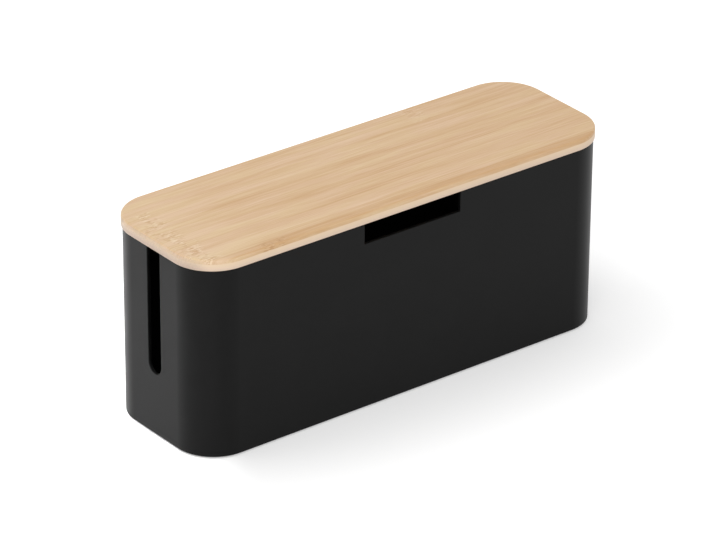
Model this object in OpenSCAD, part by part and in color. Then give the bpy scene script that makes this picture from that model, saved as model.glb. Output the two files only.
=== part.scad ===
// Cable management box: a moulded shell on four rubber feet, with a lift-off bamboo lid.
// The origin is on the ground under the middle of the box, +Z is up, the long side lies
// along X and the notched front wall faces -Y.

/* [Lid board] */
// Length of the lid board
lid_len = 320; // [260:1:400]
// Width of the lid board
lid_w = 102.5; // [94:0.5:160]
// Thickness of the lid board
lid_t = 7.5; // [5:0.5:12]
// Corner radius of the lid board, seen from above
lid_corner_r = 28.5; // [26:0.5:40]
// Rounding of the lid board's top edge
lid_edge_r = 1.5; // [0.5:0.1:3]
// Broken arris along the lid board's bottom edge
lid_arris_r = 0.5; // [0.2:0.1:1]
// How far the lid board stands out past the rim of the shell
lid_overhang = 0.9; // [0.4:0.1:3]

/* [Shell] */
// Height of the shell, from its underside to its rim
shell_h = 127; // [90:0.5:200]
// Thickness of the shell's side walls
wall_t = 2.4; // [2:0.1:3.5]
// Thickness of the shell's floor
floor_t = 2.6; // [2.4:0.1:4]
// How much each wall leans in between the rim and the floor, so that the moulding releases
draft = 0.3; // [0.1:0.1:1.5]
// Rounding along the shell's bottom edge
base_edge_r = 0.5; // [0.4:0.1:2]
// Fillet between the floor and the walls inside
floor_fillet_r = 3; // [1:0.5:5]
// Rounding of the two edges of the rim
rim_edge_r = 0.5; // [0.2:0.1:0.9]

/* [Cable openings] */
// Width of the slot in each end wall
slot_w = 12.8; // [6:0.1:20]
// Height of the lowest point of each slot above the shell's underside
slot_bottom = 42; // [20:1:60]
// Width of the notch in the front wall
notch_w = 74.5; // [40:0.5:120]
// Depth of the notch below the rim
notch_h = 14; // [8:0.5:24]

/* [Feet] */
// Diameter of each foot pad
foot_d = 12; // [8:0.5:14]
// Thickness of each foot pad
foot_t = 1.8; // [1.4:0.1:4]
// Depth of the recess that each foot pad is glued into
foot_recess = 0.8; // [0.4:0.1:1.2]
// Radial room round each foot pad in its recess
foot_gap = 0.2; // [0.1:0.1:0.5]
// Offset of each foot pad from the centre of the corner arc, along X and along Y
foot_offset = 9; // [0:0.5:10]

/* [Lid guides] */
// Height of each corner guide below the lid board
guide_h = 7; // [5:0.5:12]
// Radial width of each corner guide
guide_w = 9; // [7:0.5:10]
// Room between a guide and the inside of the shell
guide_gap = 0.5; // [0.3:0.1:1]
// Chamfer round the lower edges of each guide, which leads the lid into the shell
guide_chamfer = 1; // [0.4:0.1:1.5]
// Sweep of each guide round its corner, from end to end
guide_sweep = 78; // [66:1:80]

/* [Guide screws] */
// Diameter of the screw shank
screw_d = 2.5; // [2:0.1:2.8]
// Diameter of the countersunk screw head
screw_head_d = 5; // [4:0.1:5.2]
// How deep the screws bite into the lid board
screw_bite = 4; // [2.5:0.1:4.5]
// Radial room between a screw shank and its hole in the guide
screw_gap = 0.15; // [0.05:0.05:0.3]
// Angle between a guide's two screws, measured at the corner centre
screw_spread = 46; // [36:1:48]

/* [Hidden] */

$fn = 64;
// Overshoot of a cutting body past the faces it cuts
cut = 1;

// Heights above the ground
base_z = foot_t - foot_recess;
floor_top_z = base_z + floor_t;
rim_z = base_z + shell_h;

// Centres of the corner arcs, which the shell and the lid share
corner_x = lid_len / 2 - lid_corner_r;
corner_y = lid_w / 2 - lid_corner_r;

// Radii at the rim, measured from a corner centre
shell_r = lid_corner_r - lid_overhang;
cavity_r = shell_r - wall_t;
guide_r = cavity_r - guide_gap - guide_w / 2;

// Lean of the walls, as an angle and as sideways travel per unit of height
lean_rate = draft / shell_h;
lean = atan(lean_rate);

// Countersunk screw
screw_head_h = (screw_head_d - screw_d) / 2;
screw_len = guide_h + screw_bite;
screw_tip_h = 1.5;
screw_tip_d = 1;
recess_len = 0.62 * screw_head_d;
recess_w = 0.14 * screw_head_d;
recess_h = 1.1;
pilot_room = 0.3;

// Corner signs: [along X, along Y]
FRONT_LEFT = [-1, -1];
FRONT_RIGHT = [1, -1];
REAR_LEFT = [-1, 1];
REAR_RIGHT = [1, 1];
CORNERS = [FRONT_LEFT, FRONT_RIGHT, REAR_LEFT, REAR_RIGHT];

PLASTIC = [0.055, 0.055, 0.057];
GUIDE_PLASTIC = [0.09, 0.09, 0.092];
RUBBER = [0.03, 0.03, 0.03];
BAMBOO = [0.86, 0.73, 0.58];
STEEL = [0.72, 0.72, 0.73];

// Distance of the leaning wall line from the corner centre, for a line at radius r at the rim
function wall_at(r, z) = r - lean_rate * (rim_z - z);

// ---------- Sweeps round the plan outline ----------

// Moves a shape drawn in the corner at +X +Y to the corner with the given signs
module at_corner(side) {
    mirror([side[0] < 0 ? 1 : 0, 0, 0])
        mirror([0, side[1] < 0 ? 1 : 0, 0])
            translate([corner_x, corner_y, 0])
                children();
}

// Sweeps a section, drawn with X outward from the corner centre and Y up, round the
// whole rounded rectangle
module sweep_outline() {
    for (side = CORNERS)
        at_corner(side)
            rotate_extrude(angle = 90)
                children();
    for (flip = [0, 1])
        mirror([0, flip, 0])
            translate([-corner_x, corner_y, 0])
                rotate([90, 0, 90])
                    linear_extrude(height = 2 * corner_x)
                        children();
    for (flip = [0, 1])
        mirror([flip, 0, 0])
            translate([corner_x, corner_y, 0])
                rotate([90, 0, 0])
                    linear_extrude(height = 2 * corner_y)
                        children();
}

// The rectangle between the four corner centres
module core_plate(z, h) {
    translate([-corner_x, -corner_y, z])
        cube([2 * corner_x, 2 * corner_y, h]);
}

// ---------- Shell ----------

// Half section of a leaning block: straight to the corner centre at X = 0, leaning outside
// wall, and a rounded bottom edge that is tangent to both
module leaning_section(r, z_low, z_high, round_r) {
    centre_z = z_low + round_r;
    centre_x = wall_at(r, centre_z) - round_r / cos(lean);
    translate([centre_x, centre_z])
        circle(r = round_r);
    polygon([
        [0, z_low],
        [centre_x, z_low],
        [centre_x, centre_z],
        [centre_x + round_r * cos(lean), centre_z - round_r * sin(lean)],
        [wall_at(r, z_high), z_high],
        [0, z_high]
    ]);
}

// Section of the rim: the wall's top with both edges rounded
module rim_section() {
    low_z = rim_z - rim_edge_r;
    in_x = cavity_r + rim_edge_r;
    out_x = shell_r - rim_edge_r;
    for (x = [in_x, out_x])
        translate([x, low_z])
            circle(r = rim_edge_r);
    translate([in_x, low_z - rim_edge_r])
        square([out_x - in_x, 2 * rim_edge_r]);
}

// Section of the wall and of the strip of floor beside it
module shell_section() {
    wall_top_z = rim_z - rim_edge_r;
    difference() {
        leaning_section(shell_r, base_z, wall_top_z, base_edge_r);
        leaning_section(cavity_r, floor_top_z, rim_z + cut, floor_fillet_r);
    }
    rim_section();
}

// U-shaped slot, open at the rim, cut through the end wall at +X
module slot_cutter() {
    slot_r = slot_w / 2;
    slot_z = base_z + slot_bottom + slot_r;
    from_x = corner_x + cavity_r - draft - cut;
    depth = shell_r - cavity_r + draft + 2 * cut;
    translate([from_x, 0, slot_z])
        rotate([0, 90, 0])
            cylinder(r = slot_r, h = depth);
    translate([from_x, -slot_r, slot_z])
        cube([depth, slot_w, rim_z - slot_z + cut]);
}

// Square-cornered notch, open at the rim, cut through the front wall
module notch_cutter() {
    depth = wall_t + draft + 2 * cut;
    translate([-notch_w / 2, -(corner_y + shell_r + cut), rim_z - notch_h])
        cube([notch_w, depth, notch_h + cut]);
}

module box_shell() {
    color(PLASTIC)
        difference() {
            union() {
                sweep_outline()
                    shell_section();
                core_plate(base_z, floor_t);
            }
            slot_cutter();
            mirror([1, 0, 0])
                slot_cutter();
            notch_cutter();
            for (side = CORNERS)
                at_corner(side)
                    translate([foot_offset, foot_offset, base_z - cut])
                        cylinder(d = foot_d + 2 * foot_gap, h = foot_recess + cut);
        }
}

// ---------- Feet ----------

// Round rubber pad with a chamfered lower edge
module foot(side) {
    chamfer = 0.3;
    color(RUBBER)
        at_corner(side)
            translate([foot_offset, foot_offset, 0]) {
                cylinder(d1 = foot_d - 2 * chamfer, d2 = foot_d, h = chamfer);
                translate([0, 0, chamfer])
                    cylinder(d = foot_d, h = foot_t - chamfer);
            }
}

// ---------- Lid ----------

// Edge section of the lid board, from the corner centre outward
module lid_section() {
    top_z = rim_z + lid_t;
    translate([lid_corner_r - lid_edge_r, top_z - lid_edge_r])
        circle(r = lid_edge_r);
    translate([lid_corner_r - lid_arris_r, rim_z + lid_arris_r])
        circle(r = lid_arris_r);
    translate([0, rim_z])
        square([lid_corner_r - lid_arris_r, lid_arris_r]);
    translate([0, rim_z + lid_arris_r])
        square([lid_corner_r, lid_t - lid_arris_r - lid_edge_r]);
    translate([0, top_z - lid_edge_r])
        square([lid_corner_r - lid_edge_r, lid_edge_r]);
}

// Places a shape at each of a guide's two screws
module at_screws(side) {
    at_corner(side)
        for (turn = [-screw_spread / 2, screw_spread / 2])
            rotate([0, 0, 45 + turn])
                translate([guide_r, 0, 0])
                    children();
}

module lid_board() {
    color(BAMBOO)
        difference() {
            union() {
                sweep_outline()
                    lid_section();
                core_plate(rim_z, lid_t);
            }
            for (side = CORNERS)
                at_screws(side)
                    translate([0, 0, rim_z - cut])
                        cylinder(d = screw_d, h = screw_bite + pilot_room + cut);
        }
}

// Section across a guide, from its middle line at X = 0, with both lower edges chamfered
module guide_section() {
    half_w = guide_w / 2;
    polygon([
        [guide_chamfer - half_w, 0],
        [half_w - guide_chamfer, 0],
        [half_w, guide_chamfer],
        [half_w, guide_h],
        [-half_w, guide_h],
        [-half_w, guide_chamfer]
    ]);
}

// Wedge that chamfers the lower edge of an end, laid along X
module end_chamfer() {
    side = guide_chamfer * sqrt(2);
    rotate([45, 0, 0])
        cube([guide_w + 2 * cut, side, side], center = true);
}

// Curved block under one corner of the lid board, which keeps the lid centred on the shell
module lid_guide(side) {
    low_z = rim_z - guide_h;
    color(GUIDE_PLASTIC)
        difference() {
            translate([0, 0, low_z])
                at_corner(side)
                    rotate([0, 0, 45 - guide_sweep / 2])
                        rotate_extrude(angle = guide_sweep)
                            translate([guide_r, 0])
                                guide_section();
            translate([0, 0, low_z])
                at_corner(side)
                    for (end = [-1, 1])
                        rotate([0, 0, 45 + end * guide_sweep / 2])
                            translate([guide_r, 0, 0])
                                end_chamfer();
            at_screws(side) {
                translate([0, 0, low_z - cut])
                    cylinder(d = screw_d + 2 * screw_gap, h = guide_h + 2 * cut);
                translate([0, 0, low_z])
                    cylinder(d1 = screw_head_d, d2 = screw_d, h = screw_head_h);
            }
        }
}

// Countersunk wood screw, head down, with a cross recess
module guide_screw() {
    shank_h = screw_len - screw_head_h - screw_tip_h;
    difference() {
        union() {
            cylinder(d1 = screw_head_d, d2 = screw_d, h = screw_head_h);
            translate([0, 0, screw_head_h])
                cylinder(d = screw_d, h = shank_h);
            translate([0, 0, screw_head_h + shank_h])
                cylinder(d1 = screw_d, d2 = screw_tip_d, h = screw_tip_h);
        }
        for (turn = [0, 90])
            rotate([0, 0, turn])
                translate([-recess_len / 2, -recess_w / 2, -cut])
                    cube([recess_len, recess_w, recess_h + cut]);
    }
}

module lid_guide_screws() {
    color(STEEL)
        for (side = CORNERS)
            at_screws(side)
                translate([0, 0, rim_z - guide_h])
                    guide_screw();
}

box_shell();
foot(FRONT_LEFT);  // foot_front_left
foot(FRONT_RIGHT);  // foot_front_right
foot(REAR_LEFT);  // foot_rear_left
foot(REAR_RIGHT);  // foot_rear_right
lid_board();
lid_guide(FRONT_LEFT);  // lid_guide_front_left
lid_guide(FRONT_RIGHT);  // lid_guide_front_right
lid_guide(REAR_LEFT);  // lid_guide_rear_left
lid_guide(REAR_RIGHT);  // lid_guide_rear_right
lid_guide_screws();
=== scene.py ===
import math

import bmesh
import bpy
from mathutils import Matrix, Vector


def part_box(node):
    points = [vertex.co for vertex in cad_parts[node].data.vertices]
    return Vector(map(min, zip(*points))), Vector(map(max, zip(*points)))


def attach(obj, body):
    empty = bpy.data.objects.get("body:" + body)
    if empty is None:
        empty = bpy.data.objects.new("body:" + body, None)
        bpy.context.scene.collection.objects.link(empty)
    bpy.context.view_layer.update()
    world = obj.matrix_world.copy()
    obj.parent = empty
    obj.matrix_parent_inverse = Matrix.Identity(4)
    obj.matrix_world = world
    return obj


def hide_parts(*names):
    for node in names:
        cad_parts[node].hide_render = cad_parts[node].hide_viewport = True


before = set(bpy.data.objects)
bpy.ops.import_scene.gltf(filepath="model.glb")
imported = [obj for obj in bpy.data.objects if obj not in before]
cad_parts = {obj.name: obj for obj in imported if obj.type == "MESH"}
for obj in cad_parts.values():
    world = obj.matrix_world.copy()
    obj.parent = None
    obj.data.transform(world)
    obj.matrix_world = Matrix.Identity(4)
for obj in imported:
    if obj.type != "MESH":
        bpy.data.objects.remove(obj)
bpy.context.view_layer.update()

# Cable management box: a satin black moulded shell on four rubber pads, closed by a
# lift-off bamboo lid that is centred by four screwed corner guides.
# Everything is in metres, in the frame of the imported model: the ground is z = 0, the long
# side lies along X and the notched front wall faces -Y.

MM = 0.001

# ---------- Sizes ----------

shell_low, shell_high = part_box("box_shell")
lid_low, lid_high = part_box("lid_board")

LID_CORNER_R = 28.5 * MM
LID_EDGE_R = 1.5 * MM
LID_ARRIS_R = 0.5 * MM

WALL_T = 2.4 * MM
FLOOR_T = 2.6 * MM
DRAFT = 0.3 * MM
BASE_EDGE_R = 0.5 * MM
FLOOR_FILLET_R = 3 * MM
CUT_EDGE_R = 0.4 * MM

SLOT_W = 12.8 * MM
SLOT_BOTTOM = 42 * MM
NOTCH_W = 74.5 * MM
NOTCH_H = 14 * MM

FOOT_GAP = 0.2 * MM
FOOT_EDGE_R = 0.5 * MM
# The hollow of a foot's sole: its depth, and the radii of its profile as parts of the foot's
SOLE_HOLLOW = 0.12 * MM
SOLE_CENTRE, SOLE_FLAT, SOLE_LAND = 0.3, 0.6, 0.72

GUIDE_W = 9 * MM
GUIDE_GAP = 0.5 * MM
GUIDE_CHAMFER = 1 * MM
GUIDE_SWEEP = 78
GUIDE_EDGE_R = 0.2 * MM
GUIDE_SHARP_ANGLE = 35

SCREW_D = 2.5 * MM
SCREW_CORE_D = 1.8 * MM
SCREW_HEAD_D = 5 * MM
SCREW_PITCH = 1.1 * MM
SCREW_HOLE_D = 2.8 * MM
SCREW_SPREAD = 46
# The thread starts this far below the board and gets its full depth over THREAD_FADE
THREAD_START = 5 * MM
THREAD_FADE = 1 * MM
RIDGE_SHARPNESS = 1.6
# Over its last TIP_H the screw loses this part of its radius
TIP_H = 1.5 * MM
TIP_TAPER = 0.6
PILOT_PAST_TIP = 0.3 * MM

# The cross recess of a screw: half of an arm's length and width, its depth, its scale above
# the head's face and at the bottom, and how far each cross is turned from the one before
CROSS_HALF_L = 1.55 * MM
CROSS_HALF_W = 0.35 * MM
CROSS_DEPTH = 1.1 * MM
CROSS_WIDE, CROSS_NARROW = 1.1, 0.55
CROSS_TURN = 37

# How far the cutters reach past what they cut, and how thick the notch's is
WALL_OVERCUT = 5 * MM
NOTCH_CUTTER_T = 15 * MM
HOLE_OVERCUT = 2 * MM
SINK_OVERCUT = 1 * MM
CROSS_OVERCUT = 0.3 * MM

# Sides of the corners: along X, along Y
CORNERS = {
    "front_left": (-1, -1),
    "front_right": (1, -1),
    "rear_left": (-1, 1),
    "rear_right": (1, 1),
}

# Centres of the corner arcs, which the lid, the shell and the guides share, and the angle
# from X of a corner's middle
corner_x = lid_high.x - LID_CORNER_R
corner_y = lid_high.y - LID_CORNER_R
MID_ANGLE = 45

rim_z = shell_high.z
base_z = shell_low.z
shell_r = shell_high.x - corner_x
cavity_r = shell_r - WALL_T
guide_mid_r = cavity_r - GUIDE_GAP - GUIDE_W / 2
guide_low_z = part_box("lid_guide_front_left")[0].z
screw_tip_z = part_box("lid_guide_screws")[1].z

# Steps round a quarter corner, the shell's and the feet's small edges, those of the board,
# a foot, and an arc of a slot, guide or screw
CORNER_STEPS = 28
EDGE_STEPS = 6
ARRIS_STEPS, TOP_EDGE_STEPS = 4, 10
FOOT_STEPS = 64
ARC_STEPS = 32
THREAD_ROWS_A_TURN = 8

SMOOTH_ANGLE = 38
WELD_DISTANCE = 0.002 * MM


# ---------- Mesh helpers ----------

def arc(centre, radius, start, end, steps):
    """Points along an arc, both ends included; angles in degrees."""
    points = []
    for i in range(steps + 1):
        a = math.radians(start + (end - start) * i / steps)
        points.append((centre[0] + radius * math.cos(a), centre[1] + radius * math.sin(a)))
    return points


def rounded_outline(reach):
    """Plan of a rounded rectangle whose corner arcs have the radius reach, anticlockwise."""
    points = []
    for side_x, side_y, start in ((1, 1, 0), (-1, 1, 90), (-1, -1, 180), (1, -1, 270)):
        centre = (side_x * corner_x, side_y * corner_y)
        points += arc(centre, reach, start, start + 90, CORNER_STEPS)
    return points


def join_rings(mesh, low, high):
    """Faces between two rings of the same number of vertices."""
    for i in range(len(low)):
        j = (i + 1) % len(low)
        mesh.faces.new((low[i], low[j], high[j], high[i]))


def loft(outlines):
    """Closed mesh through a list of (plan points, z), with a flat cap on both ends."""
    mesh = bmesh.new()
    rings = [[mesh.verts.new((x, y, z)) for x, y in points] for points, z in outlines]
    for low, high in zip(rings, rings[1:]):
        join_rings(mesh, low, high)
    mesh.faces.new(reversed(rings[0]))
    mesh.faces.new(rings[-1])
    bmesh.ops.recalc_face_normals(mesh, faces=mesh.faces)
    return mesh


def lathe(profile, steps, place):
    """Closed mesh of revolution round a vertical axis; the profile is (radius, z) points."""
    circle = [(math.cos(a), math.sin(a)) for a in (math.tau * i / steps for i in range(steps))]
    return loft([
        ([(place[0] + r * x, place[1] + r * y) for x, y in circle], z) for r, z in profile
    ])


def prism(points, sweep):
    """Closed mesh of a flat polygon of 3-D points, extended by the vector sweep."""
    mesh = bmesh.new()
    near = [mesh.verts.new(p) for p in points]
    far = [mesh.verts.new(Vector(p) + Vector(sweep)) for p in points]
    join_rings(mesh, near, far)
    mesh.faces.new(reversed(near))
    mesh.faces.new(far)
    bmesh.ops.recalc_face_normals(mesh, faces=mesh.faces)
    return mesh


def make_object(name, mesh):
    """New object from a bmesh, which is used up."""
    data = bpy.data.meshes.new(name)
    mesh.to_mesh(data)
    mesh.free()
    piece = bpy.data.objects.new(name, data)
    bpy.context.scene.collection.objects.link(piece)
    return piece


def subtract(piece, cutters):
    """Cuts the bmeshes out of the piece for good."""
    tools = [make_object("cutter", cutter) for cutter in cutters]
    for tool in tools:
        cut = piece.modifiers.new("cut", "BOOLEAN")
        cut.operation = "DIFFERENCE"
        cut.solver = "EXACT"
        cut.object = tool
    graph = bpy.context.evaluated_depsgraph_get()
    result = bpy.data.meshes.new_from_object(piece.evaluated_get(graph))
    piece.modifiers.clear()
    piece.data = result
    for tool in tools:
        bpy.data.objects.remove(tool)


def soften_edges(piece, radius, steps=3, least_angle=40):
    """Rounds every edge that turns by more than least_angle."""
    mesh = bmesh.new()
    mesh.from_mesh(piece.data)
    bmesh.ops.remove_doubles(mesh, verts=mesh.verts, dist=WELD_DISTANCE)
    sharp = [
        edge for edge in mesh.edges
        if len(edge.link_faces) == 2 and edge.calc_face_angle() > math.radians(least_angle)
    ]
    bmesh.ops.bevel(
        mesh, geom=sharp, offset=radius, segments=steps, profile=0.5,
        affect="EDGES", clamp_overlap=True,
    )
    mesh.to_mesh(piece.data)
    mesh.free()


def finish_piece(piece, body, material, node):
    """Smooth shading, material, and the piece's place in the frame."""
    piece.data.materials.clear()
    piece.data.materials.append(material)
    piece.data.shade_smooth()
    piece.data.set_sharp_from_angle(angle=math.radians(SMOOTH_ANGLE))
    normals = piece.modifiers.new("weighted_normals", "WEIGHTED_NORMAL")
    normals.keep_sharp = True
    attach(piece, body)
    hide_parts(node)


# ---------- Materials ----------

# Sockets of a Mix node that is set to colours
MIX_FACTOR, MIX_FIRST, MIX_SECOND, MIX_RESULT = 0, 6, 7, 2


class Graph:
    """Adds nodes to the node tree of a material or of the world."""

    def __init__(self, owner):
        self.nodes = owner.node_tree.nodes
        self.links = owner.node_tree.links

    def put(self, socket, value):
        """Links a socket to the input, or sets the input to a plain value."""
        if isinstance(value, bpy.types.NodeSocket):
            self.links.new(value, socket)
        else:
            socket.default_value = value

    def add(self, kind, inputs, **settings):
        """New node; inputs maps socket names or numbers to values or sockets."""
        node = self.nodes.new("ShaderNode" + kind)
        for name, value in settings.items():
            setattr(node, name, value)
        for key, value in inputs.items():
            self.put(node.inputs[key], value)
        return node

    def math(self, operation, *values, clamp=False):
        """Result of a Math node."""
        node = self.add("Math", dict(enumerate(values)), operation=operation, use_clamp=clamp)
        return node.outputs[0]

    def vector(self, operation, *values, output="Vector"):
        """Result of a Vector Math node."""
        node = self.add("VectorMath", dict(enumerate(values)), operation=operation)
        return node.outputs[output]

    def split(self, vector):
        """The X, Y and Z of a vector."""
        return tuple(self.add("SeparateXYZ", {0: vector}).outputs)

    def ramp(self, value, low, high, to_low=0.0, to_high=1.0):
        """Smooth step of the value between low and high."""
        node = self.add(
            "MapRange",
            {"Value": value, "From Min": low, "From Max": high,
             "To Min": to_low, "To Max": to_high},
            interpolation_type="SMOOTHSTEP",
        )
        return node.outputs["Result"]

    def coordinates(self):
        """The piece's own coordinates, in millimetres."""
        place = self.add("TexCoord", {}).outputs["Object"]
        return self.vector("MULTIPLY", place, (1 / MM,) * 3)

    def noise(self, vector, cells, detail=2.0, roughness=0.5, shift=(0, 0, 0)):
        """Noise round 0.5 whose cells have these sizes along X, Y and Z.

        The shift, in cells, picks another part of the pattern.
        """
        scale = tuple(1 / size for size in cells)
        node = self.add(
            "TexNoise",
            {"Vector": self.vector("MULTIPLY_ADD", vector, scale, shift),
             "Scale": 1.0, "Detail": detail, "Roughness": roughness},
        )
        return node.outputs["Fac"]

    def mix(self, factor, first, second):
        """Colour between the first, at factor 0, and the second, at factor 1."""
        inputs = {MIX_FACTOR: factor, MIX_FIRST: first, MIX_SECOND: second}
        node = self.add("Mix", inputs, data_type="RGBA")
        return node.outputs[MIX_RESULT]


class Surface(Graph):
    """A new material with its Principled shader, whose plain values come as a dict."""

    def __init__(self, name, plain_values):
        self.material = bpy.data.materials.new(name)
        self.material.use_nodes = True
        super().__init__(self.material)
        self.shader = self.nodes["Principled BSDF"].inputs
        for socket, value in plain_values.items():
            self.shader[socket].default_value = value

    def finish(self, colour, roughness, height, bump_distance, bump_strength):
        """Links the patterns to the shader, and returns the material."""
        bump = self.add(
            "Bump", {"Height": height, "Distance": bump_distance, "Strength": bump_strength}
        )
        self.put(self.shader["Base Color"], colour)
        self.put(self.shader["Roughness"], roughness)
        self.put(self.shader["Normal"], bump.outputs[0])
        return self.material


def linear(red, green, blue):
    """Linear colour of an sRGB colour given as 0 to 255."""
    parts = []
    for value in (red, green, blue):
        part = value / 255
        parts.append(part / 12.92 if part <= 0.04045 else ((part + 0.055) / 1.055) ** 2.4)
    return (*parts, 1.0)


# The names that end in CELLS are sizes of a pattern's cells along X, Y and Z, in millimetres,
# and those that end in RANGE are the values between which a ramp runs. Most values of a
# noise lie in NOISE_RANGE.
NOISE_RANGE = (0.3, 0.7)

PLASTIC_CLOUD_CELLS = (22, 22, 22)
PLASTIC_GRAIN_CELLS = (0.35, 0.35, 0.35)
# How much the clouds and the grain of the plastic change its roughness
CLOUD_SPREAD = 0.06
GRAIN_SPREAD = 0.04
# Dark colour, light colour, roughness and specular level
BLACK_PLASTIC = (linear(12, 12, 12), linear(14, 14, 14), 0.40, 0.11)
GUIDE_PLASTIC = (linear(26, 26, 26), linear(31, 31, 31), 0.45, 0.35)

DUST_CELLS = (2.5, 2.5, 2.5)
DUST_RANGE = (0.45, 0.8)
DUST_GLOSS_RANGE = (0.2, 0.8)
RUBBER_BLACK = linear(30, 30, 30)
RUBBER_DUST = linear(52, 51, 49)
RUBBER_ROUGHNESS = (0.68, 0.82)

ZINC_GRAIN_CELLS = (1.2, 1.2, 0.08)
ZINC_CLOUD_CELLS = (1.5, 1.5, 1.5)
ZINC_DARK = linear(186, 188, 190)
ZINC_LIGHT = linear(206, 206, 202)
ZINC_ROUGHNESS = (0.28, 0.42)


def moulded_plastic(name, dark, light, roughness, specular):
    """Dyed plastic out of a spark-eroded mould: a fine even texture and a satin gloss."""
    graph = Surface(name, {"Specular IOR Level": specular})
    place = graph.coordinates()
    cloud = graph.noise(place, PLASTIC_CLOUD_CELLS, detail=3)
    grain = graph.noise(place, PLASTIC_GRAIN_CELLS)
    tone = graph.mix(graph.ramp(cloud, *NOISE_RANGE), dark, light)
    spread = graph.math("MULTIPLY_ADD", cloud, CLOUD_SPREAD, roughness - CLOUD_SPREAD / 2)
    spread = graph.math("SUBTRACT", spread, GRAIN_SPREAD / 2)
    spread = graph.math("MULTIPLY_ADD", grain, GRAIN_SPREAD, spread)
    return graph.finish(tone, spread, grain, bump_distance=0.004 * MM, bump_strength=0.4)


def foot_rubber():
    """Matt moulded rubber, a little dusty."""
    graph = Surface("foot_rubber", {"Specular IOR Level": 0.3})
    dust = graph.noise(graph.coordinates(), DUST_CELLS, detail=5, roughness=0.65)
    tone = graph.mix(graph.ramp(dust, *DUST_RANGE), RUBBER_BLACK, RUBBER_DUST)
    spread = graph.ramp(dust, *DUST_GLOSS_RANGE, *RUBBER_ROUGHNESS)
    return graph.finish(tone, spread, dust, bump_distance=0.02 * MM, bump_strength=0.5)


def zinc_steel():
    """Bright zinc plate with a faint drawn grain round the shank."""
    graph = Surface("zinc_steel", {"Metallic": 1.0})
    place = graph.coordinates()
    grain = graph.noise(place, ZINC_GRAIN_CELLS, detail=3)
    cloud = graph.noise(place, ZINC_CLOUD_CELLS)
    tone = graph.mix(graph.ramp(cloud, *NOISE_RANGE), ZINC_DARK, ZINC_LIGHT)
    spread = graph.ramp(grain, *NOISE_RANGE, *ZINC_ROUGHNESS)
    return graph.finish(tone, spread, grain, bump_distance=0.01 * MM, bump_strength=0.3)


# ---------- Bamboo ----------

# Lengths of the bamboo's patterns are in millimetres, and so are the places along X and Y.
# Its tone goes from 0, the light colour, to 1, the dark one.

# The staves of the lid's top layer from the front edge to the rear one: where the stave
# starts along Y, its tone, where the bamboo's node crosses it along X, how strong the dark
# and the pale fibres of that node are, and how far along a culm it was cut
STAVES = (
    (-52.0, 0.82, -105, 2.6, 0.3, 18.6),
    (-45.5, 0.44, -150, 0.5, 1.0, 42.7),
    (-27.5, 0.44, -149, 0.5, 1.0, 175.3),
    (-9.5, 0.49, -151, 0.5, 0.8, 175.9),
    (10.0, 0.40, -147, 0.5, 1.0, 698.0),
    (30.0, 0.40, 74, 0.3, 0.5, 322.0),
)
START_Y, TONE, NODE_X, DARK_FIBRES, PALE_FIBRES, CUT = range(6)

# Along the stave: length, width, change of tone, detail and roughness of the bands, the
# streaks, the fine streaks and the single fibre bundles
STREAKS = (
    (150, 7.5, 0.26, 2, 0.5),
    (80, 2.2, 0.26, 2, 0.5),
    (40, 0.8, 0.38, 3, 0.6),
    (16, 0.35, 0.26, 2, 0.6),
)
STREAK_DEPTH = 6
STREAK_RANGE = (0.28, 0.72)

# Near the left end the staves are more alike and paler, and their joints are fainter; to the
# right the tone rises by TONE_SLOPE a millimetre
MEAN_TONE = 0.43
ALIKE_FROM, ALIKE_TO = -150.0, -128.0
PALE_FROM, PALE_TO, PALE_TONE = -92.0, -136.0, -0.16
FAINT_FROM, FAINT_TO, FAINT_JOINT = -136.0, -100.0, 0.5
TONE_SLOPE = 0.0003

# Half widths of the dark line and of the soft shade along a joint, and how dark they get
JOINT_LINE_W, JOINT_LINE_TONE = 0.9, 0.4
JOINT_SHADE_W, JOINT_SHADE_TONE = 5.5, 0.28
JOINT_CELLS = (70, 9, 9)
JOINT_LINE_RANGE = (0.35, 0.7)
JOINT_SHADE_RANGE = (0.2, 0.8)

# A node: its half width, that of its core, and how far it wavers
NODE_HALF_W, NODE_CORE_HALF_W = 12.0, 2.0
NODE_WAVER = 10.0
NODE_WAVER_CELLS = (9, 4, 4)
NODE_PATCH_CELLS = (5, 6, 6)
NODE_PATCH_SHIFT = (4.7, 0, 0)
NODE_PATCH_RANGE = (0.38, 0.58)
NODE_SPECKLE_CELLS = (5.0, 0.7, 1.0)
DARK_FIBRE_RANGE = (0.52, 0.38)
PALE_FIBRE_RANGE = (0.48, 0.62)
NODE_FIBRE_MIX = 0.3

HUE_CELLS = (40, 8, 8)
HUE_RANGE = (0.35, 0.65)
HAIR_CELLS = (18, 0.3, 1)
HAIR_RANGE = (0.6, 0.78)
HAIR_MIX = 0.22
BAMBOO_ROUGHNESS = (0.44, 0.56)

# The board's side is where the normal's Z is small, and its ends where the normal's X is large
SIDE_RANGE = (0.8, 0.4)
END_RANGE = (0.6, 0.95)

# The board's side: its change of tone, the thickness of the lower layer, half the blur of
# the line between the layers and how far that line wavers
SIDE_TONE = -0.14
LOWER_LAYER_T = 4.6
LAYER_BLUR = 0.25
LAYER_WAVER = 0.8
LAYER_WAVER_CELLS = (40, 40, 0.5)
UNDER_MIX = 0.7

# The end grain: how much of its colour shows at the bottom and at the top, and its pores
END_LOW_MIX, END_TOP_MIX = 0.85, 0.35
PORE_CELLS = (0.9, 0.9, 0.9)
PORE_MIX = 0.2

BAMBOO_YELLOW = linear(225, 197, 157)
BAMBOO_PINK = linear(226, 195, 162)
BAMBOO_DARK = linear(203, 162, 116)
BAMBOO_FIBRE = linear(170, 124, 78)
BAMBOO_NODE = linear(234, 211, 180)
BAMBOO_LOWER = linear(229, 204, 174)
BAMBOO_UNDER = linear(216, 192, 174)
BAMBOO_END = linear(187, 166, 149)


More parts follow.
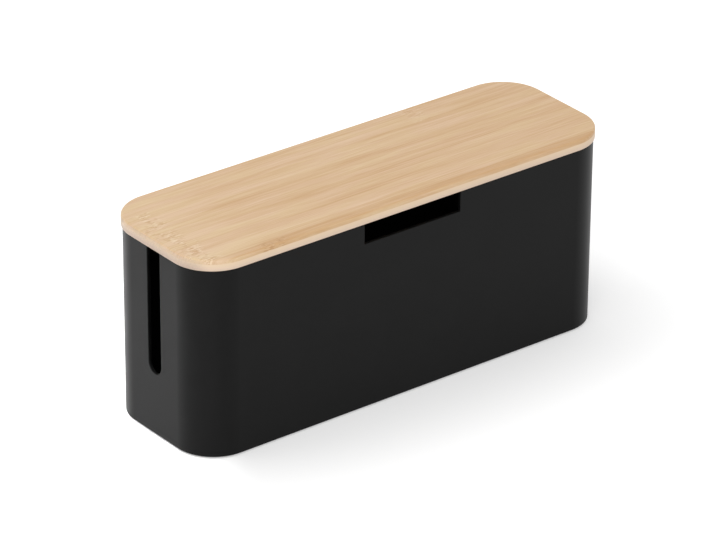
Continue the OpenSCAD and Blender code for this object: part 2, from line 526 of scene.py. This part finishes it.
def by_stave(graph, y, column):
    """The value of one column of STAVES for the stave that y lies in."""
    value = STAVES[0][column]
    for before, stave in zip(STAVES, STAVES[1:]):
        inside = graph.math("GREATER_THAN", y, stave[START_Y])
        value = graph.math("MULTIPLY_ADD", inside, stave[column] - before[column], value)
    return value


def node_fibres(graph, place, x, y):
    """How dark and how pale the short broken fibres are where a node crosses a stave."""
    waver = graph.noise(place, NODE_WAVER_CELLS)
    from_node = graph.math("SUBTRACT", x, by_stave(graph, y, NODE_X))
    from_node = graph.math("SUBTRACT", from_node, NODE_WAVER / 2)
    from_node = graph.math("MULTIPLY_ADD", waver, NODE_WAVER, from_node)
    mask = graph.ramp(graph.math("ABSOLUTE", from_node), NODE_HALF_W, NODE_CORE_HALF_W)
    patch = graph.noise(place, NODE_PATCH_CELLS, shift=NODE_PATCH_SHIFT)
    mask = graph.math("MULTIPLY", mask, graph.ramp(patch, *NODE_PATCH_RANGE))
    speckle = graph.noise(place, NODE_SPECKLE_CELLS, detail=3, roughness=0.6)
    fibres = []
    for value_range, column in ((DARK_FIBRE_RANGE, DARK_FIBRES), (PALE_FIBRE_RANGE, PALE_FIBRES)):
        strength = by_stave(graph, y, column)
        level = graph.math("MULTIPLY", graph.ramp(speckle, *value_range), strength)
        fibres.append(graph.math("MULTIPLY", mask, level))
    return fibres


def stave_tone(graph, shifted, x, y):
    """Tone of the staves with the bands and streaks along them."""
    own = graph.math("SUBTRACT", by_stave(graph, y, TONE), MEAN_TONE)
    own = graph.math("MULTIPLY", own, graph.ramp(x, ALIKE_FROM, ALIKE_TO))
    tone = graph.math("ADD", own, MEAN_TONE)
    for length, width, change, detail, roughness in STREAKS:
        noise = graph.noise(shifted, (length, width, STREAK_DEPTH), detail, roughness)
        level = graph.ramp(noise, *STREAK_RANGE, -0.5, 0.5)
        tone = graph.math("MULTIPLY_ADD", level, change, tone)
    tone = graph.math("MULTIPLY_ADD", x, TONE_SLOPE, tone)
    return graph.math("ADD", graph.ramp(x, PALE_FROM, PALE_TO, 0.0, PALE_TONE), tone)


def shade_joints(graph, place, x, y, tone):
    """Adds the darker wood along the joints between staves to the tone."""
    along = graph.noise(place, JOINT_CELLS)
    faint = graph.ramp(x, FAINT_FROM, FAINT_TO, FAINT_JOINT, 1.0)
    along = graph.math("MULTIPLY", along, faint)
    line = graph.ramp(along, *JOINT_LINE_RANGE, 0.0, JOINT_LINE_TONE)
    shade = graph.ramp(along, *JOINT_SHADE_RANGE, 0.0, JOINT_SHADE_TONE)
    for stave in STAVES[1:]:
        away = graph.math("ABSOLUTE", graph.math("SUBTRACT", y, stave[START_Y]))
        for half_w, depth in ((JOINT_LINE_W, line), (JOINT_SHADE_W, shade)):
            tone = graph.math("MULTIPLY_ADD", graph.ramp(away, half_w, 0.0), depth, tone)
    return tone


def side_colour(graph, place, z, normal_x, side, colour):
    """Adds the paler lower layer and the end grain of both layers, where side is 1."""
    bottom_z, top_z = lid_low.z / MM, lid_high.z / MM
    layer_z = bottom_z + LOWER_LAYER_T
    waver = graph.noise(place, LAYER_WAVER_CELLS, detail=3, roughness=0.6)
    height = graph.math("SUBTRACT", z, LAYER_WAVER / 2)
    height = graph.math("MULTIPLY_ADD", waver, LAYER_WAVER, height)
    lower = graph.ramp(height, layer_z + LAYER_BLUR, layer_z - LAYER_BLUR)
    downward = graph.ramp(z, layer_z, bottom_z, 0.0, UNDER_MIX)
    lower_colour = graph.mix(downward, BAMBOO_LOWER, BAMBOO_UNDER)
    colour = graph.mix(graph.math("MULTIPLY", side, lower), colour, lower_colour)

    end = graph.ramp(graph.math("ABSOLUTE", normal_x), *END_RANGE)
    pores = graph.noise(place, PORE_CELLS, detail=3, roughness=0.7)
    pores = graph.ramp(pores, *NOISE_RANGE, -PORE_MIX, PORE_MIX)
    depth = graph.ramp(z, bottom_z, top_z, END_LOW_MIX, END_TOP_MIX)
    depth = graph.math("ADD", depth, pores, clamp=True)
    depth = graph.math("MULTIPLY", graph.math("MULTIPLY", side, end), depth)
    return graph.mix(depth, colour, BAMBOO_END)


def bamboo():
    """Two layers of sanded bamboo staves, glued side by side, under a thin matt lacquer."""
    graph = Surface("bamboo", {"Specular IOR Level": 0.4})
    place = graph.coordinates()
    x, y, z = graph.split(place)

    # Each stave is cut from another culm, so its pattern starts elsewhere
    cut = by_stave(graph, y, CUT)
    shift = graph.add("CombineXYZ", {0: cut, 1: 0.0, 2: cut}).outputs[0]
    shifted = graph.vector("ADD", place, shift)

    dark_fibres, pale_fibres = node_fibres(graph, place, x, y)
    tone = stave_tone(graph, shifted, x, y)
    tone = shade_joints(graph, place, x, y, tone)
    tone = graph.math("ADD", dark_fibres, tone)

    # The side catches light across the fibres, which makes them look paler there
    normal_x, _, normal_z = graph.split(graph.add("TexCoord", {}).outputs["Normal"])
    side = graph.ramp(graph.math("ABSOLUTE", normal_z), *SIDE_RANGE)
    tone = graph.math("MULTIPLY_ADD", side, SIDE_TONE, tone)
    tone = graph.math("ADD", tone, 0.0, clamp=True)

    # The wood is a little pinker in some places and yellower in others
    hue = graph.noise(shifted, HUE_CELLS)
    light = graph.mix(graph.ramp(hue, *HUE_RANGE), BAMBOO_YELLOW, BAMBOO_PINK)
    colour = graph.mix(tone, light, BAMBOO_DARK)
    colour = graph.mix(pale_fibres, colour, BAMBOO_NODE)
    dark_fibres = graph.math("MULTIPLY", dark_fibres, NODE_FIBRE_MIX)
    colour = graph.mix(dark_fibres, colour, BAMBOO_FIBRE)
    hair = graph.noise(shifted, HAIR_CELLS, roughness=0.6)
    bundles = graph.math("MULTIPLY", graph.ramp(hair, *HAIR_RANGE), HAIR_MIX)
    colour = graph.mix(bundles, colour, BAMBOO_FIBRE)
    colour = side_colour(graph, place, z, normal_x, side, colour)
    spread = graph.ramp(hair, *NOISE_RANGE, *BAMBOO_ROUGHNESS)
    return graph.finish(colour, spread, hair, bump_distance=0.02 * MM, bump_strength=0.4)


# ---------- Shell ----------

def wall_reach(rim_reach, z):
    """Reach from the corner centre of a wall that leans in below the rim."""
    return rim_reach - DRAFT * (rim_z - z) / (rim_z - base_z)


def shell_sections():
    """(reach, z) up the outside of the wall, over the rim and down to the floor inside."""
    low_z = base_z + BASE_EDGE_R
    low_reach = wall_reach(shell_r, low_z) - BASE_EDGE_R
    points = arc((low_reach, low_z), BASE_EDGE_R, -90, 0, EDGE_STEPS)
    points += [(shell_r, rim_z), (cavity_r, rim_z)]
    floor_z = base_z + FLOOR_T + FLOOR_FILLET_R
    floor_reach = wall_reach(cavity_r, floor_z) - FLOOR_FILLET_R
    points += arc((floor_reach, floor_z), FLOOR_FILLET_R, 0, -90, EDGE_STEPS)
    return points


def slot_cutter():
    """U-shaped prism that cuts the slots of both ends."""
    reach = shell_high.x + WALL_OVERCUT
    radius = SLOT_W / 2
    bottom = arc((0, base_z + SLOT_BOTTOM + radius), radius, 180, 360, ARC_STEPS)
    top_z = rim_z + WALL_OVERCUT
    outline = bottom + [(radius, top_z), (-radius, top_z)]
    return prism([(-reach, y, z) for y, z in outline], (2 * reach, 0, 0))


def notch_cutter():
    """Square-cornered block that cuts the notch of the front rim."""
    half_w = NOTCH_W / 2
    low_z, top_z = rim_z - NOTCH_H, rim_z + WALL_OVERCUT
    front_y = shell_low.y - WALL_OVERCUT
    outline = [(-half_w, low_z), (half_w, low_z), (half_w, top_z), (-half_w, top_z)]
    return prism([(x, front_y, z) for x, z in outline], (0, NOTCH_CUTTER_T, 0))


def foot_size(corner):
    """Centre, radius and top of a foot."""
    low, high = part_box("foot_" + corner)
    centre = (low + high) / 2
    return (centre.x, centre.y), (high.x - low.x) / 2, high.z


def recess_cutters():
    """One disc for each foot pad's recess."""
    cutters = []
    for corner in CORNERS:
        centre, foot_r, top_z = foot_size(corner)
        radius = foot_r + FOOT_GAP
        profile = [(radius, base_z - HOLE_OVERCUT), (radius, top_z)]
        cutters.append(lathe(profile, FOOT_STEPS, centre))
    return cutters


def make_shell(material):
    """The moulding, with its slots, its notch and the recesses of the feet."""
    outlines = [(rounded_outline(reach), z) for reach, z in shell_sections()]
    shell = make_object("shell_moulding", loft(outlines))
    subtract(shell, [slot_cutter(), notch_cutter()])
    soften_edges(shell, CUT_EDGE_R)
    subtract(shell, recess_cutters())
    finish_piece(shell, "box", material, "box_shell")


# ---------- Feet ----------

def make_feet(material):
    """Round pads with a softened lower edge and a slightly hollow sole."""
    for corner in CORNERS:
        centre, radius, top_z = foot_size(corner)
        land = radius - FOOT_EDGE_R
        profile = [
            (SOLE_CENTRE * radius, SOLE_HOLLOW),
            (SOLE_FLAT * radius, SOLE_HOLLOW),
            (SOLE_LAND * radius, 0.0),
        ]
        profile += arc((land, FOOT_EDGE_R), FOOT_EDGE_R, -90, 0, EDGE_STEPS)
        profile += [(radius, top_z)]
        foot = make_object("foot_pad_" + corner, lathe(profile, FOOT_STEPS, centre))
        finish_piece(foot, "box", material, "foot_" + corner)


# ---------- Lid ----------

def corner_point(corner, radius, angle):
    """Plan point at a radius and an angle round a corner, 0 along X and 90 along Y."""
    side_x, side_y = CORNERS[corner]
    a = math.radians(angle)
    return (
        side_x * (corner_x + radius * math.cos(a)),
        side_y * (corner_y + radius * math.sin(a)),
    )


def screw_spots(corner):
    """Plan points of the two screws of a corner."""
    turns = (-SCREW_SPREAD / 2, SCREW_SPREAD / 2)
    return [corner_point(corner, guide_mid_r, MID_ANGLE + turn) for turn in turns]


def make_lid_board(material):
    """The board, with a rounded top edge, a broken arris below and the screws' pilot holes."""
    arris = (LID_CORNER_R - LID_ARRIS_R, lid_low.z + LID_ARRIS_R)
    top_edge = (LID_CORNER_R - LID_EDGE_R, lid_high.z - LID_EDGE_R)
    side = arc(arris, LID_ARRIS_R, -90, 0, ARRIS_STEPS)
    side += arc(top_edge, LID_EDGE_R, 0, 90, TOP_EDGE_STEPS)
    board = make_object("lid_bamboo_board", loft([(rounded_outline(r), z) for r, z in side]))
    pilot = [
        (SCREW_D / 2, lid_low.z - HOLE_OVERCUT),
        (SCREW_D / 2, screw_tip_z + PILOT_PAST_TIP),
    ]
    spots = [spot for corner in CORNERS for spot in screw_spots(corner)]
    subtract(board, [lathe(pilot, ARC_STEPS, spot) for spot in spots])
    finish_piece(board, "lid", material, "lid_board")


def guide_outline(corner, inset):
    """Plan of a guide: a curved bar with flat radial ends, drawn in by the inset."""
    half_w = GUIDE_W / 2 - inset
    points = []
    for radius, turn in ((guide_mid_r + half_w, 1), (guide_mid_r - half_w, -1)):
        half_sweep = turn * (GUIDE_SWEEP / 2 - math.degrees(inset / radius))
        start, end = MID_ANGLE - half_sweep, MID_ANGLE + half_sweep
        points += arc((0, 0), radius, start, end, ARC_STEPS)
    side_x, side_y = CORNERS[corner]
    return [(side_x * (corner_x + x), side_y * (corner_y + y)) for x, y in points]


def make_guides(material):
    """Curved blocks under the lid's corners, with two countersunk holes each."""
    head_r, hole_r = SCREW_HEAD_D / 2, SCREW_HOLE_D / 2
    sink = [
        (head_r + SINK_OVERCUT, guide_low_z - SINK_OVERCUT),
        (hole_r, guide_low_z + head_r - hole_r),
        (hole_r, lid_low.z + HOLE_OVERCUT),
    ]
    for corner in CORNERS:
        guide = make_object("corner_guide_" + corner, loft([
            (guide_outline(corner, GUIDE_CHAMFER), guide_low_z),
            (guide_outline(corner, 0), guide_low_z + GUIDE_CHAMFER),
            (guide_outline(corner, 0), lid_low.z),
        ]))
        subtract(guide, [lathe(sink, ARC_STEPS, spot) for spot in screw_spots(corner)])
        soften_edges(guide, GUIDE_EDGE_R, steps=2, least_angle=GUIDE_SHARP_ANGLE)
        finish_piece(guide, "lid", material, "lid_guide_" + corner)


def ratio(value, low, high):
    """Where the value lies between low, 0, and high, 1."""
    return min(max((value - low) / (high - low), 0.0), 1.0)


def screw_mesh(spot):
    """Countersunk wood screw, head down, with its thread cut into the shank."""
    head_r, shank_r, core_r = SCREW_HEAD_D / 2, SCREW_D / 2, SCREW_CORE_D / 2
    thread_z = lid_low.z - THREAD_START
    heights = [guide_low_z, guide_low_z + head_r - shank_r]
    z = heights[-1]
    while z < screw_tip_z:
        z += SCREW_PITCH / THREAD_ROWS_A_TURN
        heights.append(min(z, screw_tip_z))
    mesh = bmesh.new()
    rings = []
    for z in heights:
        cut = ratio(z, thread_z, thread_z + THREAD_FADE)
        taper = ratio(z, screw_tip_z - TIP_H, screw_tip_z)
        ring = []
        for i in range(ARC_STEPS):
            turn = i / ARC_STEPS
            phase = (z / SCREW_PITCH - turn) % 1.0
            ridge = max(0.0, 1 - abs(2 * phase - 1) * RIDGE_SHARPNESS)
            radius = shank_r - cut * (shank_r - core_r) * (1 - ridge)
            radius *= 1 - TIP_TAPER * taper
            if z == guide_low_z:
                radius = head_r
            angle = math.tau * turn
            ring.append(mesh.verts.new(
                (spot[0] + radius * math.cos(angle), spot[1] + radius * math.sin(angle), z)
            ))
        rings.append(ring)
    for low, high in zip(rings, rings[1:]):
        join_rings(mesh, low, high)
    mesh.faces.new(reversed(rings[0]))
    mesh.faces.new(rings[-1])
    return mesh


def cross_cutters(spot, turn):
    """The two arms of a screw's cross recess, narrower towards the bottom."""
    half_l, half_w = CROSS_HALF_L, CROSS_HALF_W
    corners = [(-half_l, -half_w), (half_l, -half_w), (half_l, half_w), (-half_l, half_w)]
    levels = (
        (CROSS_WIDE, guide_low_z - CROSS_OVERCUT),
        (CROSS_NARROW, guide_low_z + CROSS_DEPTH),
    )
    cutters = []
    for arm in (turn, turn + 90):
        rotation = Matrix.Rotation(math.radians(arm), 2)
        outlines = []
        for scale, z in levels:
            plan = [rotation @ Vector((x * scale, y * scale)) for x, y in corners]
            outlines.append(([(spot[0] + p.x, spot[1] + p.y) for p in plan], z))
        cutters.append(loft(outlines))
    return cutters


def make_screws(material):
    """All eight screws as one piece."""
    joined = bmesh.new()
    spots = [spot for corner in CORNERS for spot in screw_spots(corner)]
    for number, spot in enumerate(spots):
        screw = make_object("screw", screw_mesh(spot))
        subtract(screw, cross_cutters(spot, CROSS_TURN * number))
        joined.from_mesh(screw.data)
        bpy.data.objects.remove(screw)
    screws = make_object("guide_screw_set", joined)
    finish_piece(screws, "lid", material, "lid_guide_screws")


# ---------- Studio ----------

# The camera looks at the box from above its left front corner, through a long lens
CAMERA_AZIMUTH = -38.0871
CAMERA_ELEVATION = 27.2051
CAMERA_ROLL = 0.4097
CAMERA_LENS = 243.654
CAMERA_RIGHT = -1.88 * MM
CAMERA_UP = 57.26 * MM
CAMERA_DISTANCE = 3047.8 * MM
CAMERA_SENSOR_W = 36.0
CAMERA_SIGHT = 50

# Light levels: 1.0 shows a white surface that faces the light as plain white
WORLD_LEVEL = 0.78
# Softboxes: azimuth, elevation, distance, width, height and light level
KEY_SOFTBOX = (-130, 50, 1.5, 0.9, 0.7, 0.10)
FILL_SOFTBOX = (-35, 35, 1.8, 1.2, 0.8, 0.24)

# The floor's own tone, and what is added to it as it is seen, near the object and past it
FLOOR_TONE = 0.8
LIFT_NEAR, LIFT_FAR = 0.3, 0.5
LIFT_REACH = 150 * MM
FLOOR_HALF_W = 12.0
FLOOR_DEPTH = 50 * MM

# Beams on the floor: the line between them leaves the shell's corner in this direction
REAR_BEAM_LEVEL = 1.0
FRONT_BEAM_LEVEL = 0.5
BEAM_EDGE = math.radians(158)
BEAM_START = 15
BEAM_SLANT = math.radians(20)
BEAM_LENGTH, BEAM_WIDTH = 0.40, 0.32
BEAM_DISTANCE = 0.8
BEAM_SPREAD = 3


def direction(azimuth, elevation):
    """Unit vector from the object; azimuth 0 is in front and 90 is to the right."""
    a, e = math.radians(azimuth), math.radians(elevation)
    return Vector((math.sin(a) * math.cos(e), -math.cos(a) * math.cos(e), math.sin(e)))


def aim(holder, place, right, back):
    """Puts a camera or lamp at the place, looking away from back, its width along right."""
    turn = Matrix((right, back.cross(right), back)).transposed().to_4x4()
    holder.matrix_world = Matrix.Translation(place) @ turn


def make_camera():
    """The camera that took the photo, as fitted to the box's edges."""
    back = direction(CAMERA_AZIMUTH, CAMERA_ELEVATION)
    level = Vector((-back.y, back.x, 0)).normalized()
    right = Matrix.Rotation(math.radians(CAMERA_ROLL), 3, back) @ level
    data = bpy.data.cameras.new("camera")
    data.sensor_width = CAMERA_SENSOR_W
    data.lens = CAMERA_LENS
    data.clip_end = CAMERA_SIGHT
    camera = bpy.data.objects.new("camera", data)
    bpy.context.scene.collection.objects.link(camera)
    up = back.cross(right)
    place = right * CAMERA_RIGHT + up * CAMERA_UP + back * CAMERA_DISTANCE
    aim(camera, place, right, back)
    bpy.context.scene.camera = camera


def looked_at(graph):
    """1 for camera, glossy and transmission rays, which see the white background."""
    path = graph.add("LightPath", {})
    seen = path.outputs["Is Camera Ray"]
    for name in ("Is Glossy Ray", "Is Transmission Ray"):
        seen = graph.math("MAXIMUM", seen, path.outputs[name])
    return seen


def make_world():
    """Even white surroundings, dimmer as a light than as the background."""
    world = bpy.data.worlds.new("studio")
    bpy.context.scene.world = world
    world.use_nodes = True
    graph = Graph(world)
    background = graph.nodes["Background"].inputs
    background["Color"].default_value = (1, 1, 1, 1)
    strength = graph.ramp(looked_at(graph), 0.0, 1.0, WORLD_LEVEL, 1.0)
    graph.put(background["Strength"], strength)


def paper():
    """White paper. As it is seen, it is lifted to the background's white past the object."""
    material = bpy.data.materials.new("paper")
    material.use_nodes = True
    graph = Graph(material)
    graph.nodes.clear()
    own = graph.add("BsdfDiffuse", {"Color": (FLOOR_TONE,) * 3 + (1,)}).outputs[0]

    # Distance from the object's footprint
    place = graph.add("TexCoord", {}).outputs["Object"]
    past = graph.vector("SUBTRACT", graph.vector("ABSOLUTE", place), (corner_x, corner_y, 0))
    past = graph.vector("MAXIMUM", past, (0, 0, 0))
    away = graph.vector("LENGTH", past, output="Value")
    lift = graph.ramp(away, shell_r, shell_r + LIFT_REACH, LIFT_NEAR, LIFT_FAR)
    seen = graph.add("Emission", {"Strength": graph.math("MULTIPLY", lift, looked_at(graph))})
    surface = graph.add("AddShader", {0: own, 1: seen.outputs[0]}).outputs[0]
    graph.add("OutputMaterial", {"Surface": surface})
    return material


def make_floor(material):
    """Slab of paper whose top is the ground."""
    half = FLOOR_HALF_W
    corners = [(-half, -half, 0), (half, -half, 0), (half, half, 0), (-half, half, 0)]
    floor = make_object("floor", prism(corners, (0, 0, -FLOOR_DEPTH)))
    floor.data.materials.append(material)


def make_lamp(name, place, back, right, width, height, energy, spread=180):
    """Area lamp that shines away from the direction back; its width lies along right."""
    lamp = bpy.data.lights.new(name, "AREA")
    lamp.shape = "RECTANGLE"
    lamp.size = width
    lamp.size_y = height
    lamp.spread = math.radians(spread)
    lamp.energy = energy
    holder = bpy.data.objects.new(name, lamp)
    bpy.context.scene.collection.objects.link(holder)
    right = (right - right.project(back)).normalized()
    aim(holder, place, right, back)
    holder.visible_camera = False


def make_softbox(name, azimuth, elevation, distance, width, height, level):
    """Softbox that gives a surface facing it at the object the light level named."""
    back = direction(azimuth, elevation)
    right = direction(azimuth + 90, 0)
    middle = Vector((0, 0, lid_high.z / 2))
    energy = level * (math.pi * distance) ** 2
    make_lamp(name, middle + back * distance, back, right, width, height, energy)


def make_floor_beam(name, side, level):
    """Narrow beam on the floor beside the left end, for the shell to mirror.

    It slants in below the lid. One of its corners is at the foot of the shell's front left
    corner; from there it lies behind (side 1) or in front (side -1) of the line BEAM_EDGE.
    """
    back = Vector((-math.sin(BEAM_SLANT), 0, math.cos(BEAM_SLANT)))
    along = Vector((math.cos(BEAM_EDGE), math.sin(BEAM_EDGE), 0))
    across = side * Vector((math.sin(BEAM_EDGE), -math.cos(BEAM_EDGE), 0))
    start = Vector((*corner_point("front_left", shell_r, BEAM_START), 0))
    middle = start + along * BEAM_LENGTH / 2 + across * BEAM_WIDTH / 2
    energy = level * math.pi * BEAM_LENGTH * BEAM_WIDTH
    place = middle + back * BEAM_DISTANCE
    make_lamp(name, place, back, along, BEAM_LENGTH, BEAM_WIDTH, energy, BEAM_SPREAD)


def make_studio():
    """Camera, white surroundings, floor and lamps."""
    make_camera()
    make_world()
    make_floor(paper())
    make_softbox("key", *KEY_SOFTBOX)
    make_softbox("fill", *FILL_SOFTBOX)
    make_floor_beam("rear_beam", 1, REAR_BEAM_LEVEL)
    make_floor_beam("front_beam", -1, FRONT_BEAM_LEVEL)


# ---------- Build ----------

make_studio()
make_shell(moulded_plastic("black_plastic", *BLACK_PLASTIC))
make_feet(foot_rubber())
make_lid_board(bamboo())
make_guides(moulded_plastic("guide_plastic", *GUIDE_PLASTIC))
make_screws(zinc_steel())

bpy.context.scene.view_settings.view_transform = "Standard"
